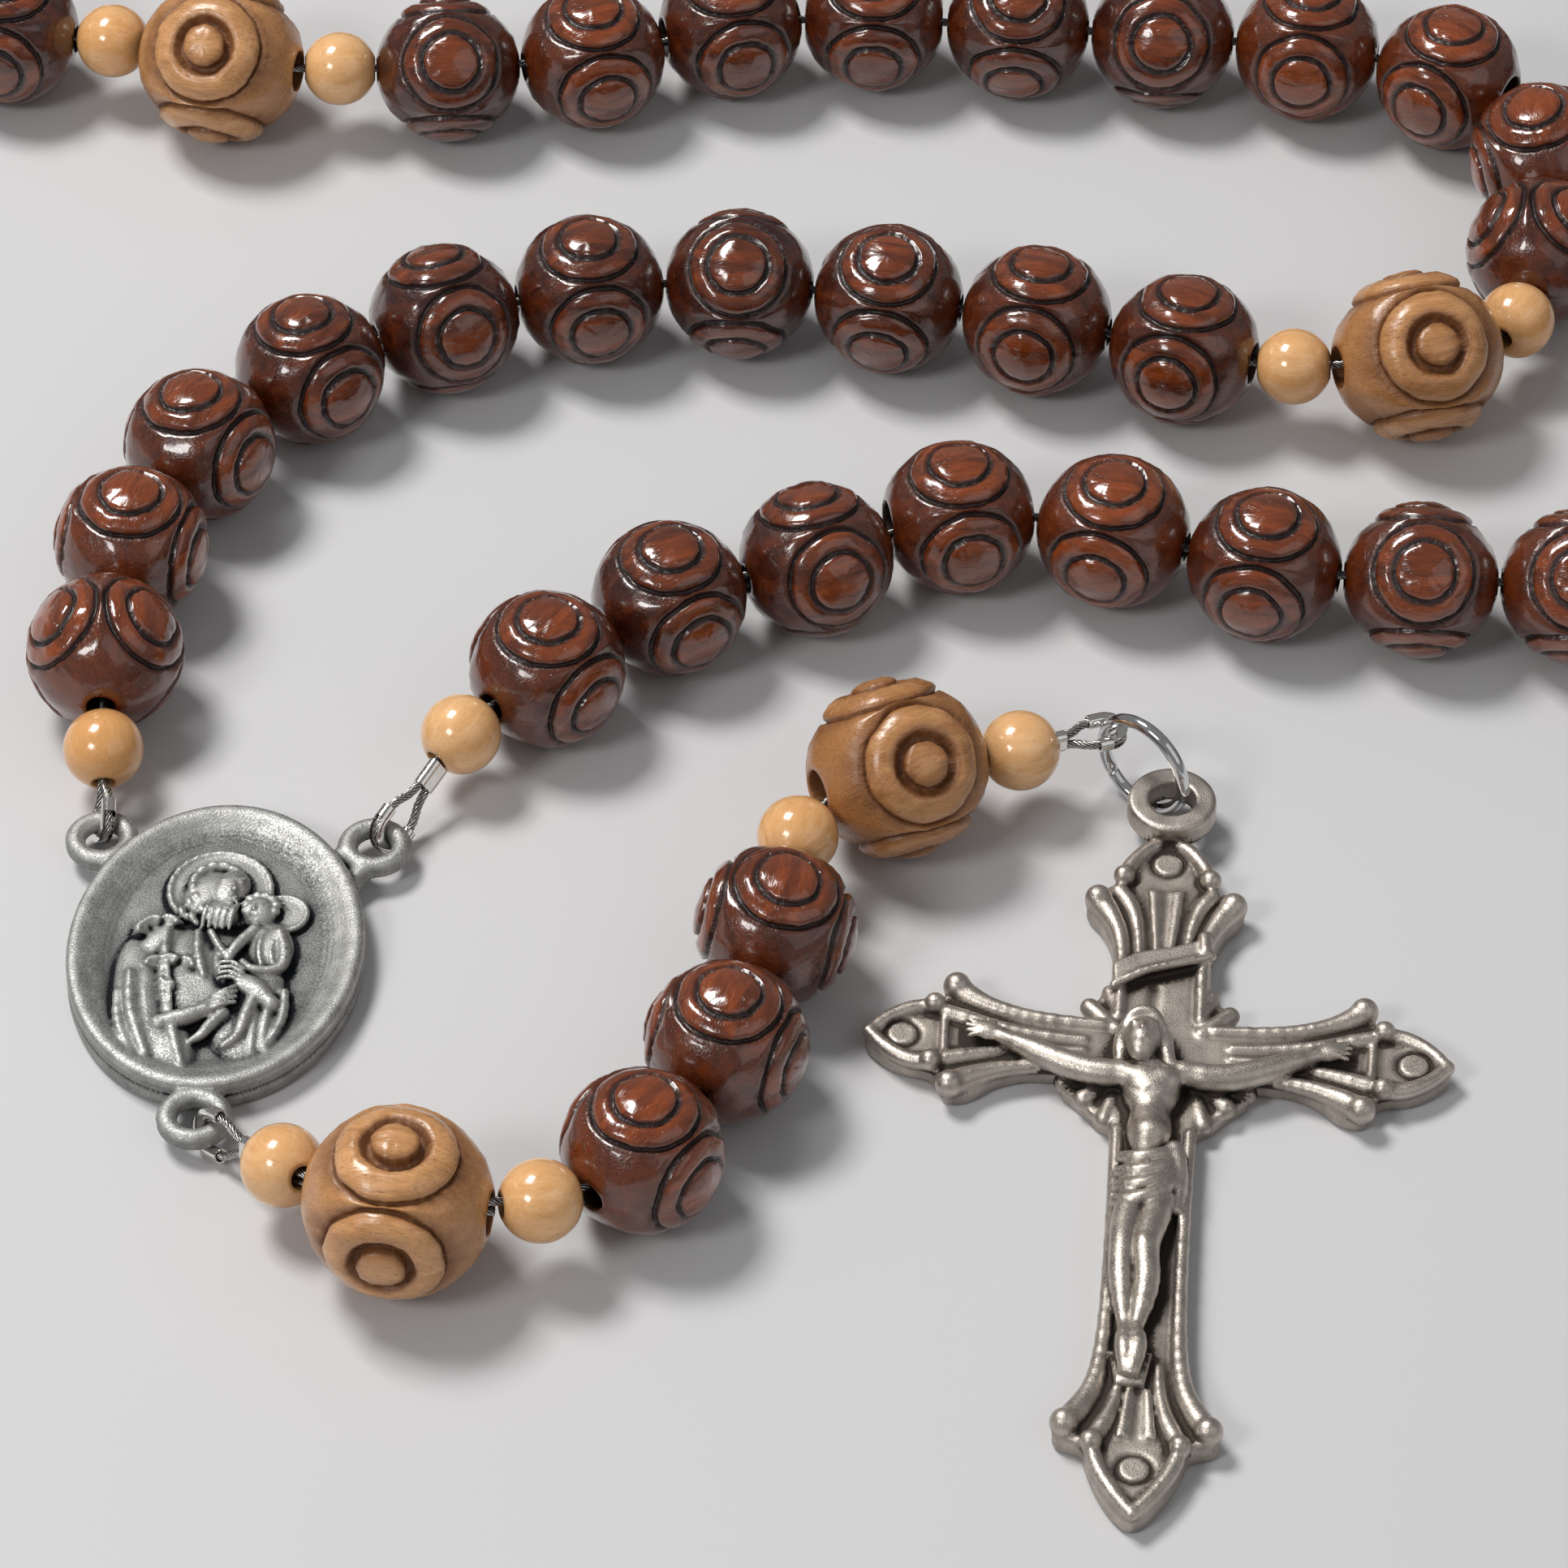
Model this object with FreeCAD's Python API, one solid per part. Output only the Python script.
import FreeCAD, Part

import math
import os

# A five-decade rosary lying on a table: 73 wooden beads on twisted steel cable, an oval medal,
# a jump ring and a crucifix. Millimetres, +Z up, the table is the plane z = 0.

Vec = FreeCAD.Vector
UP = Vec(0, 0, 1)

# ---- driving dimensions -------------------------------------------------------------------
dark_radius = 5.0
tan_radius = 5.75
small_radius = 2.5
dark_bore = 1.25
tan_bore = 1.45
small_bore = 0.9
bead_gap = 0.1
nest = 0.12
mouth_depth = 0.9
mouth_flare = 0.6
decade_size = 10

cable_radius = 0.3
cable_pair_half = 0.32
sheath_radius = 0.475
sheath_bore = 0.36
crimp_wall = 0.13

medal_half_width = 9.1
medal_half_height = 11.9
medal_thickness = 2.4
medal_rim = 1.5
medal_dish = 0.5
medal_centre = Vec(-40.4, -36.1, 0)
medal_turn = -3.5
eye_ring_radius = 1.75
eye_wall_radius = 0.5
eye_height = 1.7

cross_turn = -4.0
cross_thickness = 2.0
arm_level = -20.2
bail_radius = 2.75
bail_hole = 1.45
bail_bottom = 1.3
bail_thickness = 1.7
bail_centre = Vec(18.9, -23.25, 0)

jump_ring_radius = 3.28
jump_wire_radius = 0.425
jump_centre = Vec(17.1, -21.1, 3.76)
jump_direction = Vec(0.743, -0.669, 0)

# Each place where the cable turns back round a ring: the middle of the ring's wall, the bead
# that the cable comes from, half the height of the loop, how far the loop leans, and how far
# from the ring the two strands lie side by side, where the crimp starts and where it ends.
left_turn = dict(wall=Vec(-48.2, -25.05, 1.7), bead=Vec(-48.4, -20.7, 3.6), half=1.25, lean=-20,
                 level=False, neck=2.2, crimp=(2.85, 4.4))
right_turn = dict(wall=Vec(-30.05, -25.66, 1.7), bead=Vec(-25.9, -19.7, 4.3), half=1.25, lean=20,
                  level=False, neck=2.7, crimp=(3.4, 5.2))
lower_turn = dict(wall=Vec(-39.6, -51.28, 1.7), bead=Vec(-35.0, -56.2, 4.4), half=1.25, lean=20,
                  level=False, neck=2.7, crimp=(3.4, 4.7))
ring_turn = dict(wall=Vec(14.75, -18.98, 4.6), bead=Vec(9.3, -21.0, 4.8), half=1.05, lean=0,
                 level=True, neck=2.3, crimp=(2.8, 4.2))
leg_corner = 1.35
leg_length = 0.85

# The loop's route between its first and its last small bead, over the table and back.
loop_middle = [
    (-48.5, -18.3, 4.6), (-48.8, -13.5, 5.0), (-48.7, -6.4, 5.0), (-45.7, 4.3, 5.0),
    (-38.0, 13.6, 5.0), (-26.2, 20.3, 5.0), (-12.6, 23.3, 5.0), (2.5, 21.3, 5.0),
    (17.5, 17.9, 5.0), (27.0, 14.4, 5.3), (35.4, 15.0, 5.9), (42.0, 17.6, 5.3),
    (44.2, 22.2, 5.0), (45.6, 29.2, 5.0), (46.4, 37.2, 5.0), (43.0, 43.6, 5.0),
    (36.2, 47.3, 5.0), (26.0, 48.9, 5.0), (9.0, 50.3, 5.0), (-6.5, 51.3, 5.0),
    (-19.5, 45.9, 5.0), (-31.0, 44.6, 5.2), (-43.5, 43.5, 5.8), (-54.5, 48.0, 5.0),
    (-64.0, 48.2, 5.0), (-71.7, 53.8, 5.0), (-74.5, 62.7, 5.0), (-71.7, 71.5, 5.0),
    (-64.0, 76.9, 5.0), (-52.0, 75.0, 5.0), (-41.0, 75.8, 5.0), (-24.0, 74.8, 5.0),
    (-4.0, 75.8, 5.0), (16.0, 74.9, 5.0), (36.0, 75.8, 5.0), (51.5, 75.4, 5.0),
    (64.4, 73.6, 5.0), (72.0, 65.0, 5.0), (73.0, 51.0, 5.0), (71.8, 35.0, 5.0),
    (72.8, 19.4, 5.8), (70.4, 6.2, 5.8), (63.2, -2.5, 5.0), (53.0, -6.4, 5.0),
    (41.5, -5.3, 5.0), (29.0, -5.1, 5.0), (19.5, -2.3, 5.0), (11.0, 0.5, 5.0),
    (4.0, 0.1, 5.0), (-3.0, -4.0, 5.0), (-10.0, -6.2, 5.0), (-16.2, -9.5, 5.0),
    (-20.7, -14.5, 5.0), (-23.6, -17.3, 5.0),
]

# The pendant's route between the medal and the jump ring. Its first and last stretches carry
# two strands, one above the other, because each cut end is tucked back through two beads.
pendant_middle = [
    (-34.0, -57.8, 5.45), (-28.0, -60.5, 6.6), (-18.0, -59.9, 5.4), (-12.6, -54.2, 5.0),
    (-8.4, -46.0, 5.0), (-5.8, -37.0, 5.0), (-4.9, -28.4, 5.3), (0.7, -23.7, 6.45),
    (7.5, -21.6, 5.25),
]
strand_drop = 0.7
first_cut_end = Vec(-22.2, -60.3, 5.2)
last_cut_end = Vec(-3.2, -26.9, 5.1)


# ---- small helpers ------------------------------------------------------------------------
def unit(vector):
    return vector * (1.0 / vector.Length)


def ring_axes(turn):
    """Along the cable, across from the lower to the upper strand, and through the loop."""
    along = unit(turn["bead"] - turn["wall"])
    side = unit(Vec(along.y, -along.x, 0))
    if turn["level"]:
        across = side
    else:
        lean = math.radians(turn["lean"])
        across = unit(side.cross(along) * math.cos(lean) - side * math.sin(lean))
    return along, across, along.cross(across)


def strands(turn):
    """The way the two strands lie apart where they run side by side."""
    along, across, through = ring_axes(turn)
    if turn["level"]:
        return (UP - along * UP.dot(along)) * cable_pair_half
    return across * cable_pair_half


def turn_points(turn):
    """Route points of the strand that comes back, and of the strand that goes out."""
    along, across, through = ring_axes(turn)
    wall, half, apart = turn["wall"], turn["half"], strands(turn)
    back = [wall + along * turn["neck"] - apart,
            wall + along * leg_corner - across * half,
            wall - along * half - across * half]
    out = [wall - along * half + across * half,
           wall + along * leg_corner + across * half,
           wall + along * turn["neck"] + apart]
    return back, out


def crimped_end(turn):
    along, across, through = ring_axes(turn)
    return turn["wall"] + along * (turn["crimp"][1] - 0.15) - strands(turn)


def lowered(points, drop):
    return [Vec(p.x, p.y, p.z - drop) for p in points]


def route_segments(points):
    """Straight runs joined by tangent arcs, each as large as its two runs allow."""
    segments = []
    radii = []
    start = points[0]
    for before, corner, after in zip(points, points[1:], points[2:]):
        arriving = unit(corner - before)
        leaving = unit(after - corner)
        turn = arriving.getAngle(leaving)
        trim = 0.45 * min((corner - before).Length, (after - corner).Length)
        radius = trim / math.tan(turn / 2)
        first = corner - arriving * trim
        last = corner + leaving * trim
        inward = unit(leaving - arriving)
        centre = corner + inward * (radius / math.cos(turn / 2))
        segments.append(("run", start, first))
        segments.append(("arc", first, last, centre, radius, turn, centre - inward * radius))
        radii.append(radius)
        start = last
    segments.append(("run", start, points[-1]))
    return segments, radii


def segment_length(segment):
    if segment[0] == "run":
        return (segment[2] - segment[1]).Length
    return segment[4] * segment[5]


def route_length(segments):
    return sum(segment_length(segment) for segment in segments)


def place_on_route(segments, distance):
    """The point and the direction of the route at a distance from its start."""
    for segment in segments:
        length = segment_length(segment)
        if distance <= length:
            break
        distance -= length
    if segment[0] == "run":
        direction = unit(segment[2] - segment[1])
        return segment[1] + direction * distance, direction
    kind, first, last, centre, radius, turn, middle = segment
    outward = unit(first - centre)
    sideways = unit((last - centre) - outward * outward.dot(last - centre))
    angle = distance / radius
    point = centre + (outward * math.cos(angle) + sideways * math.sin(angle)) * radius
    return point, sideways * math.cos(angle) - outward * math.sin(angle)


def distance_near(segments, target, low, high):
    """How far along the route, between two limits, it passes closest to a point."""
    steps = 400
    span = (high - low) / steps
    return min((low + span * i for i in range(steps + 1)),
               key=lambda s: (place_on_route(segments, s)[0] - target).Length)


def cable_tube(name, points):
    segments, radii = route_segments(points)
    edges = []
    for segment in segments:
        if segment[0] == "run":
            edges.append(Part.LineSegment(segment[1], segment[2]).toShape())
        else:
            edges.append(Part.Arc(segment[1], segment[6], segment[2]).toShape())
    path = Part.Wire(edges)
    ring = Part.Wire([Part.Circle(points[0], unit(points[1] - points[0]), cable_radius).toShape()])
    tube = path.makePipeShell([ring], True, False)
    length = route_length(segments)
    section = math.pi * cable_radius ** 2
    print("%s: length %.1f, volume %.2f, section x length %.2f, valid %s" % (
        name, length, tube.Volume, section * length, tube.isValid()))
    print("  radii " + ", ".join("%.1f" % radius for radius in radii))
    return tube


def bead(radius, bore, centre, direction):
    """A ball with a hole through it, the hole's mouths flared on the big beads."""
    ball = Part.makeSphere(radius)
    ball = ball.cut(Part.makeCylinder(bore, 4 * radius, Vec(0, 0, -2 * radius)))
    if radius > small_radius:
        for way in (UP, UP * -1):
            flare = Part.makeCone(bore, bore + mouth_flare, mouth_depth, way * (radius - mouth_depth), way)
            ball = ball.cut(flare)
    ball.Placement = FreeCAD.Placement(centre, FreeCAD.Rotation(UP, direction))
    return ball


def into_place(shape, origin, x_way, y_way):
    z_way = x_way.cross(y_way)
    matrix = FreeCAD.Matrix(
        x_way.x, y_way.x, z_way.x, origin.x,
        x_way.y, y_way.y, z_way.y, origin.y,
        x_way.z, y_way.z, z_way.z, origin.z,
        0, 0, 0, 1)
    placed = shape.copy()
    placed.Placement = FreeCAD.Placement(matrix)
    return placed


# ---- fittings -----------------------------------------------------------------------------
def wire_guard(turn):
    """A horseshoe of thin tube, open along the outside of its bend, that the cable lies in."""
    half = turn["half"]
    origin = Vec(0, 0, 0)
    reach = 3 * half
    bend_side = Part.makeBox(reach, 2 * reach, 2 * reach, Vec(-reach, -reach, -reach))
    bend = Part.makeTorus(half, sheath_radius, origin, UP).common(bend_side)
    hollow = Part.makeTorus(half, sheath_bore, origin, UP).common(bend_side)
    guard = bend
    for side in (-half, half):
        guard = guard.fuse(Part.makeCylinder(sheath_radius, leg_length, Vec(0, side, 0), Vec(1, 0, 0)))
        hollow = hollow.fuse(Part.makeCylinder(sheath_bore, 2 * leg_length, Vec(0, side, 0), Vec(1, 0, 0)))
    slot = Part.makeCylinder(reach, 2 * sheath_bore, Vec(0, 0, -sheath_bore), UP)
    slot = slot.cut(Part.makeCylinder(half, 2 * sheath_bore, Vec(0, 0, -sheath_bore), UP))
    slot = slot.common(bend_side)
    guard = guard.cut(hollow).cut(slot)
    along, across, through = ring_axes(turn)
    return into_place(guard, turn["wall"], along, across)


def crimp_tube(turn):
    """A short flattened tube pressed round the two strands."""
    start, end = turn["crimp"]
    length = end - start
    bore = cable_radius + 0.02
    outer = bore + crimp_wall
    barrel = Part.makeBox(length, 2 * cable_pair_half, 2 * outer, Vec(start, -cable_pair_half, -outer))
    gap = Part.makeBox(length, 2 * cable_pair_half, bore, Vec(start, -cable_pair_half, -bore / 2))
    for side in (-cable_pair_half, cable_pair_half):
        barrel = barrel.fuse(Part.makeCylinder(outer, length, Vec(start, side, 0), Vec(1, 0, 0)))
        gap = gap.fuse(Part.makeCylinder(bore, length, Vec(start, side, 0), Vec(1, 0, 0)))
    along = ring_axes(turn)[0]
    return into_place(barrel.cut(gap), turn["wall"], along, unit(strands(turn)))


# ---- the medal ----------------------------------------------------------------------------
def ellipse_disc(half_width, half_height, bottom, top):
    """An upright oval plug: its long way is Y."""
    outline = Part.Ellipse(Vec(0, half_height, bottom), Vec(half_width, 0, bottom), Vec(0, 0, bottom))
    face = Part.Face(Part.Wire([outline.toShape()]))
    return face.extrude(Vec(0, 0, top - bottom))


def medal():
    body = ellipse_disc(medal_half_width, medal_half_height, 0, medal_thickness)
    body = body.makeChamfer(0.45, body.Edges)
    field_width = medal_half_width - medal_rim
    field_height = medal_half_height - medal_rim
    body = body.cut(ellipse_disc(field_width, field_height, medal_thickness - medal_dish, medal_thickness))
    relief = ellipse_disc(0.6 * field_width, 0.78 * field_height,
                          medal_thickness - medal_dish - 0.2, medal_thickness)
    body = body.fuse(relief)
    body.rotate(Vec(0, 0, 0), UP, medal_turn)
    body.translate(medal_centre)
    for turn in (left_turn, right_turn, lower_turn):
        along = turn["bead"] - turn["wall"]
        flat_way = unit(Vec(along.x, along.y, 0))
        eye = turn["wall"] - flat_way * eye_ring_radius
        ring = Part.makeTorus(eye_ring_radius, eye_wall_radius, eye, UP)
        root = medal_centre + Vec(0, 0, eye_height)
        inward = unit(root - eye)
        neck_start = eye + inward * (eye_ring_radius + 0.2)
        neck = Part.makeCylinder(0.6, 2.6, neck_start, inward)
        body = body.fuse(ring).fuse(neck)
    return body.removeSplitter()


# ---- the crucifix -------------------------------------------------------------------------
# Half of the cross's outline, from the top of the upper lobe to the tip of the lower one.
half_outline = [
    (1.6, -3.2), (2.6, -4.8), (2.9, -6.0), (4.2, -7.0), (4.9, -7.6), (4.9, -8.5), (3.9, -9.6),
    (3.1, -11.6), (3.0, -13.4), (3.9, -15.6), (3.4, -17.8), (7.5, -18.2), (9.8, -17.4),
    (11.2, -16.0), (12.6, -15.7), (13.2, -16.6), (13.6, -17.6), (15.6, -17.9), (17.2, -19.0),
    (18.1, -20.2), (17.2, -21.4), (15.6, -22.5), (13.6, -22.8), (13.2, -23.8), (12.6, -24.7),
    (11.2, -24.4), (9.8, -23.0), (7.5, -22.2), (3.4, -22.6), (3.9, -24.8), (2.8, -26.6),
    (2.45, -40.0), (2.6, -45.5), (3.3, -47.8), (4.4, -49.2), (4.95, -50.1), (4.7, -51.0),
    (3.1, -51.4), (2.9, -52.4), (2.2, -54.3), (1.0, -56.2),
]
lobe_pearls = [(2.75, -5.95), (4.25, -7.95), (12.5, -16.4), (13.9, -17.9),
               (12.5, -24.0), (13.9, -22.5), (4.25, -50.1), (2.7, -51.6)]


def rod(start, end, start_radius, end_radius):
    """A round limb with a ball at each end."""
    way = end - start
    if abs(start_radius - end_radius) < 0.01:
        limb = Part.makeCylinder(start_radius, way.Length, start, way)
    else:
        limb = Part.makeCone(start_radius, end_radius, way.Length, start, way)
    return limb.fuse(Part.makeSphere(start_radius, start)).fuse(Part.makeSphere(end_radius, end))


def crucifix():
    right = [Vec(x, y, 0) for x, y in half_outline]
    left = [Vec(-x, y, 0) for x, y in reversed(half_outline)]
    corners = [Vec(0, -1.9, 0)] + right + [Vec(0, -56.9, 0)] + left
    outline = Part.makePolygon(corners + corners[:1])
    cross = Part.Face(outline).extrude(Vec(0, 0, cross_thickness))
    bail = Part.makeCylinder(bail_radius, bail_thickness, Vec(0, 0, bail_bottom))
    cross = cross.fuse(bail)
    cross = cross.cut(Part.makeCylinder(bail_hole, 2 * bail_radius, Vec(0, 0, -1)))
    for x, y in lobe_pearls:
        for side in (-x, x):
            cross = cross.fuse(Part.makeSphere(0.75, Vec(side, y, cross_thickness - 0.35)))
    level = arm_level
    chest = 2.5
    limbs = [
        rod(Vec(-2.4, level - 1.7, chest), Vec(-10.6, level + 0.9, 2.1), 0.75, 0.55),
        rod(Vec(2.4, level - 1.7, chest), Vec(10.6, level + 0.9, 2.1), 0.75, 0.55),
        rod(Vec(0, level - 2.6, chest), Vec(0.1, level - 8.0, 2.3), 1.75, 1.35),
        rod(Vec(0.1, level - 8.0, 2.3), Vec(0, level - 12.8, 2.4), 1.5, 1.6),
        rod(Vec(-0.6, level - 12.8, 2.4), Vec(-0.8, level - 17.6, 2.7), 1.05, 0.85),
        rod(Vec(0.7, level - 12.8, 2.4), Vec(0.6, level - 17.6, 2.7), 1.05, 0.85),
        rod(Vec(-0.8, level - 17.6, 2.7), Vec(-0.2, level - 24.0, 2.1), 0.85, 0.6),
        rod(Vec(0.6, level - 17.6, 2.7), Vec(0.1, level - 24.0, 2.1), 0.85, 0.6),
        rod(Vec(0, level - 24.0, 2.1), Vec(0, level - 26.2, 2.0), 0.8, 0.8),
        Part.makeSphere(1.6, Vec(-0.5, level + 0.2, 2.7)),
    ]
    for limb in limbs:
        cross = cross.fuse(limb)
    below_table = Part.makeBox(80, 80, 5, Vec(-40, -65, -5))
    cross = cross.cut(below_table)
    cross.rotate(Vec(0, 0, 0), UP, cross_turn)
    cross.translate(bail_centre)
    return cross


# ---- stringing ----------------------------------------------------------------------------
bead_radius = {"dark": dark_radius, "tan": tan_radius, "small": small_radius}
bead_bore = {"dark": dark_bore, "tan": tan_bore, "small": small_bore}
search_step = 0.01


def string_beads(segments, kinds, first_centre, first_direction, start, way, spare=None):
    """Beads side by side along a route, from one whose place is known.

    Each big bead rests on the table, and a small one sinks a little into its mouths.
    spare gives the free cable before some of them.
    Returns kind, centre and direction of each bead, and how far along the route each one is.
    """
    spare = spare or {}
    strung = [(kinds[0], first_centre, first_direction)]
    places = [start]
    distance = start
    for index, kind in enumerate(kinds[1:], 1):
        before_kind, before, old_direction = strung[-1]
        apart = bead_radius[before_kind] + bead_radius[kind] + bead_gap + spare.get(index, 0)
        if "small" in (kind, before_kind):
            apart -= nest
        distance += way * 0.9 * apart
        while True:
            point, direction = place_on_route(segments, distance)
            if kind != "small":
                point.z = bead_radius[kind]
            if (point - before).Length >= apart:
                break
            distance += way * search_step
        strung.append((kind, point, direction))
        places.append(distance)
    return strung, places


def bead_solid(strung_bead):
    kind, centre, direction = strung_bead
    return bead(bead_radius[kind], bead_bore[kind], centre, direction)


def loop_beads(loop_points):
    """Nodes of the loop's beads, strung from both ends, with the slack at the back."""
    segments = route_segments(loop_points)[0]
    length = route_length(segments)
    decade = ["dark"] * decade_size
    our_father = ["small", "tan", "small"]
    kinds = ["small"] + decade + our_father + decade + our_father + decade[:5]
    ends = []
    for turn, low, high, way in ((left_turn, 5, 25, 1), (right_turn, length - 25, length - 5, -1)):
        start = distance_near(segments, turn["bead"], low, high)
        along = ring_axes(turn)[0]
        ends.append(string_beads(segments, kinds, turn["bead"], along, start, way))
    print("slack in the third decade %.2f" % (
        ends[1][1][-1] - ends[0][1][-1] - 2 * dark_radius - bead_gap))

    nodes = {}
    groups = {"loop_spacers": [], "far_dark_beads": [], "far_tan_beads": []}
    own_node = (27, 9)
    near_dark = 0
    near_tan = 0
    for (strung, places), own in zip(ends, own_node):
        for index, strung_bead in enumerate(strung):
            kind = strung_bead[0]
            solid = bead_solid(strung_bead)
            if kind == "small":
                groups["loop_spacers"].append(solid)
            elif index >= own:
                groups["far_%s_beads" % kind].append(solid)
            elif kind == "tan":
                near_tan += 1
                nodes["loop_tan_bead_%d" % near_tan] = solid
            else:
                near_dark += 1
                nodes["loop_dark_bead_%02d" % near_dark] = solid
    for name, solids in groups.items():
        nodes[name] = Part.makeCompound(solids)
    return nodes


def pendant_beads(pendant_points):
    """Nodes of the pendant's beads; the spare cable shows on the inner sides of the tan beads."""
    segments = route_segments(pendant_points)[0]
    length = route_length(segments)
    first = distance_near(segments, lower_turn["bead"] + strands(lower_turn), 20, 40)
    last = distance_near(segments, ring_turn["bead"] + strands(ring_turn), length - 40, length - 18)
    kinds = ["small", "tan", "small", "dark", "dark", "dark", "small", "tan"]
    end_pair = string_beads(segments, ["small", "tan"], ring_turn["bead"], -ring_axes(ring_turn)[0],
                            last, -1)
    target = end_pair[1][-1]
    along = ring_axes(lower_turn)[0]
    spare = 0.0
    while True:
        strung, places = string_beads(segments, kinds, lower_turn["bead"], along, first, 1,
                                      {2: spare, 7: spare})
        if places[-1] >= target - 0.02 or spare > 3:
            break
        spare += 0.02
    print("free cable at the inner side of each tan bead %.2f, end off by %.2f" % (
        spare, places[-1] - target))
    strung = strung[:-1] + [end_pair[0][1], end_pair[0][0]]
    nodes = {}
    spacers = []
    numbers = {"dark": 0, "tan": 0}
    for strung_bead in strung:
        kind = strung_bead[0]
        if kind == "small":
            spacers.append(bead_solid(strung_bead))
        else:
            numbers[kind] += 1
            nodes["pendant_%s_bead_%d" % (kind, numbers[kind])] = bead_solid(strung_bead)
    nodes["pendant_spacers"] = Part.makeCompound(spacers)
    return nodes


def loop_cable_points():
    left_back, left_out = turn_points(left_turn)
    right_back, right_out = turn_points(right_turn)
    left_out.append(left_turn["bead"] + strands(left_turn))
    right_out.append(right_turn["bead"] + strands(right_turn))
    middle = [Vec(*p) for p in loop_middle]
    return ([crimped_end(left_turn)] + left_back + left_out + middle
            + right_out[::-1] + right_back[::-1] + [crimped_end(right_turn)])


def pendant_cable_points():
    """The cut ends lie below the main strand, through a small bead and a tan bead each."""
    lower_back, lower_out = turn_points(lower_turn)
    ring_back, ring_out = turn_points(ring_turn)
    lower_out.append(lower_turn["bead"] + strands(lower_turn))
    ring_out.append(ring_turn["bead"] + strands(ring_turn))
    middle = [Vec(*p) for p in pendant_middle]
    first_tail = [lower_turn["bead"] - strands(lower_turn)] + lowered(middle[:2], strand_drop)
    last_tail = [ring_turn["bead"] - strands(ring_turn)] + lowered(middle[:-3:-1], strand_drop)
    return ([first_cut_end] + first_tail[::-1] + lower_back + lower_out + middle
            + ring_out[::-1] + ring_back[::-1] + last_tail + [last_cut_end])


def main():
    os.makedirs("parts", exist_ok=True)
    nodes = {}
    loop_points = loop_cable_points()
    pendant_points = pendant_cable_points()
    nodes["loop_cable"] = cable_tube("loop cable", loop_points)
    nodes["pendant_cable"] = cable_tube("pendant cable", pendant_points)
    nodes.update(loop_beads(loop_points))
    nodes.update(pendant_beads(pendant_points))
    for name, turn in (("medal_left", left_turn), ("medal_right", right_turn),
                       ("medal_lower", lower_turn), ("jump_ring", ring_turn)):
        nodes[name + "_guard"] = wire_guard(turn)
        nodes[name + "_crimp"] = crimp_tube(turn)
    nodes["medal"] = medal()
    nodes["crucifix"] = crucifix()
    ring_axis = jump_direction.cross(UP)
    nodes["jump_ring"] = Part.makeTorus(jump_ring_radius, jump_wire_radius, jump_centre, ring_axis)

    for name, shape in sorted(nodes.items()):
        shape.exportStep("parts/%s.step" % name)
        if not shape.isValid() or shape.Volume <= 0:
            print("check", name, shape.isValid(), shape.Volume)
    print("%d nodes" % len(nodes))


main()
